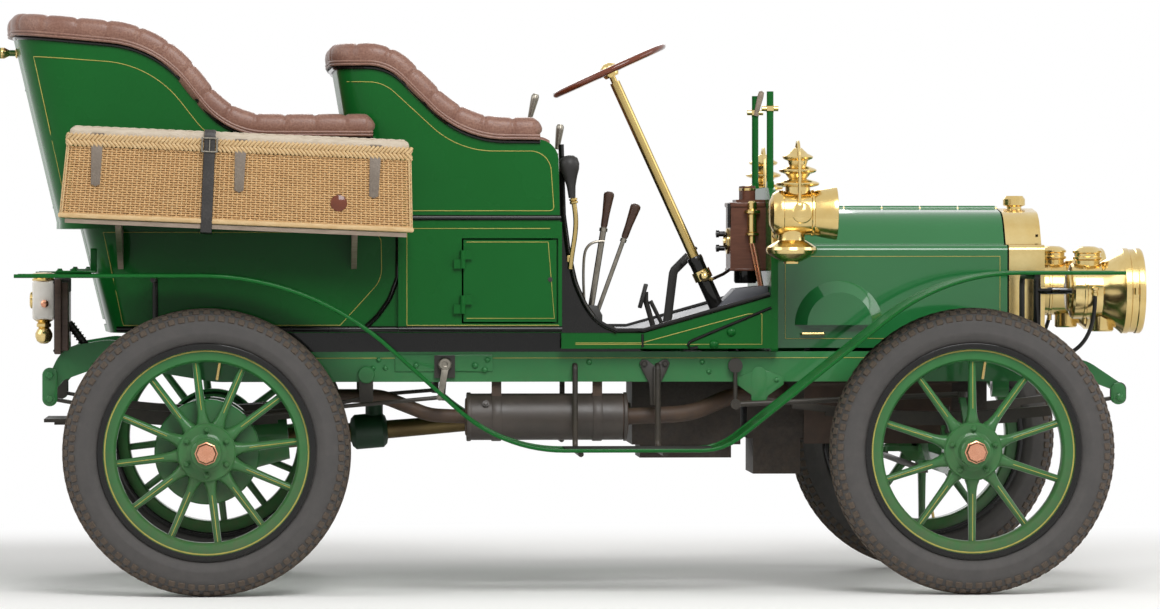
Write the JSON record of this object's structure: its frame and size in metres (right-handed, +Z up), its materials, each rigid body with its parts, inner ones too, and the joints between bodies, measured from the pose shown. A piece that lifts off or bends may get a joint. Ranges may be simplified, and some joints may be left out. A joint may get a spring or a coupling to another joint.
{
  "type": "brass era car",
  "caption": "Brass era rear-entrance tonneau touring car in green with gold lines, brown leather seats, wooden wheels, brass lamps and a wicker hamper.",
  "frame": {"origin": "on the ground under the middle of the car", "axes": "+X towards the front, +Y to the car's left, +Z up"},
  "size_m": [3.322, 1.55, 1.6734],
  "materials": {
    "body_green": "gloss",
    "chassis_green": "gloss",
    "wheel_green": "gloss",
    "spring_black": "satin",
    "iron_black": "satin",
    "heel_black": "satin",
    "brass": "polished",
    "cast_iron": "matte",
    "exhaust_iron": "matte",
    "tray_brown": "satin",
    "core_black": "matte",
    "tyre": "matte",
    "leather": "satin",
    "strap_leather": "satin",
    "mahogany": "gloss",
    "coil_wood": "satin",
    "shelf_wood": "matte",
    "wicker": "matte",
    "horn_rubber": "satin"
  },
  "bodies": {
    "chassis": {"frame_rails": "chassis_green", "cross_members": "chassis_green", "springs": "spring_black", "front_axle": "chassis_green", "rear_axle": "chassis_green", "shaft_cover": "brass", "engine_and_gearbox": "cast_iron", "undertray": "tray_brown", "exhaust": "exhaust_iron", "brake_gear": "iron_black", "tonneau_body": "body_green", "tonneau_base": "body_green", "rear_upholstery": "leather", "front_seat_body": "body_green", "front_upholstery": "leather", "seat_box": "body_green", "floor": "body_green", "body_sills": "iron_black", "heel_board": "heel_black", "steering_column": "brass", "bonnet_hinge": "brass", "radiator": "brass", "radiator_core": "core_black", "wings": "body_green", "wing_irons": "iron_black", "headlamps": "brass", "side_lamps": "brass", "tail_lamp": "brass", "gas_hose_right": "horn_rubber", "gas_hose_left": "horn_rubber", "rear_step": "iron_black", "hamper": "wicker", "hamper_strap": "strap_leather", "hamper_shelf": "shelf_wood", "driver_controls": "iron_black", "bulb_horn": "horn_rubber", "coil_box": "coil_wood", "dash": "body_green"},
    "wheel_front_right": {"wheel_front_right": "wheel_green", "tyre_front_right": "tyre"},
    "wheel_front_left": {"wheel_front_left": "wheel_green", "tyre_front_left": "tyre"},
    "wheel_rear_right": {"wheel_rear_right": "wheel_green", "tyre_rear_right": "tyre"},
    "wheel_rear_left": {"wheel_rear_left": "wheel_green", "tyre_rear_left": "tyre"},
    "knuckle_right": {"knuckle_right": "chassis_green"},
    "knuckle_left": {"knuckle_left": "chassis_green"},
    "track_rod": {"track_rod": "iron_black"},
    "steering_wheel": {"steering_wheel": "mahogany"},
    "drop_arm": {"drop_arm": "iron_black"},
    "drag_link": {"drag_link": "iron_black"},
    "locker_door": {"locker_door": "body_green"},
    "rear_door": {"rear_door": "body_green", "rear_door_pad": "leather"},
    "bonnet_right": {"bonnet_right": "body_green"},
    "bonnet_left": {"bonnet_left": "body_green"}
  },
  "joints": [
    {"name": "steer_left", "type": "hinge", "parent": "chassis", "child": "knuckle_left", "pos_m": [1.136, 0.55, 0.41], "axis": [0, 0, 1], "range_deg": [-27, 27]},
    {"name": "steer_right", "type": "hinge", "parent": "chassis", "child": "knuckle_right", "pos_m": [1.136, -0.55, 0.41], "axis": [0, 0, 1], "range_deg": [-27, 27]},
    {"name": "track_rod_pin", "type": "hinge", "parent": "knuckle_left", "child": "track_rod", "pos_m": [1.006, 0.55, 0.354], "axis": [0, 0, 1], "range_deg": [-27, 27]},
    {"name": "wheel_front_right_spin", "type": "hinge", "parent": "knuckle_right", "child": "wheel_front_right", "pos_m": [1.136, -0.65, 0.41], "axis": [0, 1, 0], "continuous": true},
    {"name": "wheel_front_left_spin", "type": "hinge", "parent": "knuckle_left", "child": "wheel_front_left", "pos_m": [1.136, 0.65, 0.41], "axis": [0, 1, 0], "continuous": true},
    {"name": "wheel_rear_right_spin", "type": "hinge", "parent": "chassis", "child": "wheel_rear_right", "pos_m": [-1.049, -0.65, 0.41], "axis": [0, 1, 0], "continuous": true},
    {"name": "wheel_rear_left_spin", "type": "hinge", "parent": "chassis", "child": "wheel_rear_left", "pos_m": [-1.049, 0.65, 0.41], "axis": [0, 1, 0], "continuous": true},
    {"name": "steering_wheel_turn", "type": "hinge", "parent": "chassis", "child": "steering_wheel", "pos_m": [0.116, -0.3, 1.507], "axis": [-0.4147, 0, 0.91], "range_deg": [-205, 205]},
    {"name": "drop_arm_swing", "type": "hinge", "parent": "chassis", "child": "drop_arm", "pos_m": [0.47656, -0.391, 0.65], "axis": [0, 1, 0], "range_deg": [-35, 35]},
    {"name": "drag_link_pin", "type": "hinge", "parent": "drop_arm", "child": "drag_link", "pos_m": [0.47656, -0.412, 0.538], "axis": [0, 1, 0], "range_deg": [-35, 35]},
    {"name": "locker_door_hinge", "type": "hinge", "parent": "chassis", "child": "locker_door", "pos_m": [-0.3165, -0.479, 0.896], "axis": [0, 0, -1], "range_deg": [0, 110]},
    {"name": "rear_door_hinge", "type": "hinge", "parent": "chassis", "child": "rear_door", "pos_m": [-1.49896, 0.2275, 1.066], "axis": [0.2278, 0, -0.9737], "range_deg": [0, 100]},
    {"name": "bonnet_right_hinge", "type": "hinge", "parent": "chassis", "child": "bonnet_right", "pos_m": [0.943, 0, 1.108], "axis": [-1, 0, 0], "range_deg": [0, 75]},
    {"name": "bonnet_left_hinge", "type": "hinge", "parent": "chassis", "child": "bonnet_left", "pos_m": [0.943, 0, 1.108], "axis": [1, 0, 0], "range_deg": [0, 75]}
  ],
  "couplings": [
    {"joint": "steer_right", "follows": "steer_left", "ratio": 1},
    {"joint": "track_rod_pin", "follows": "steer_left", "ratio": -1},
    {"joint": "steering_wheel_turn", "follows": "steer_left", "ratio": 7.5},
    {"joint": "drop_arm_swing", "follows": "steer_left", "ratio": 1.27},
    {"joint": "drag_link_pin", "follows": "steer_left", "ratio": -1.27}
  ]
}
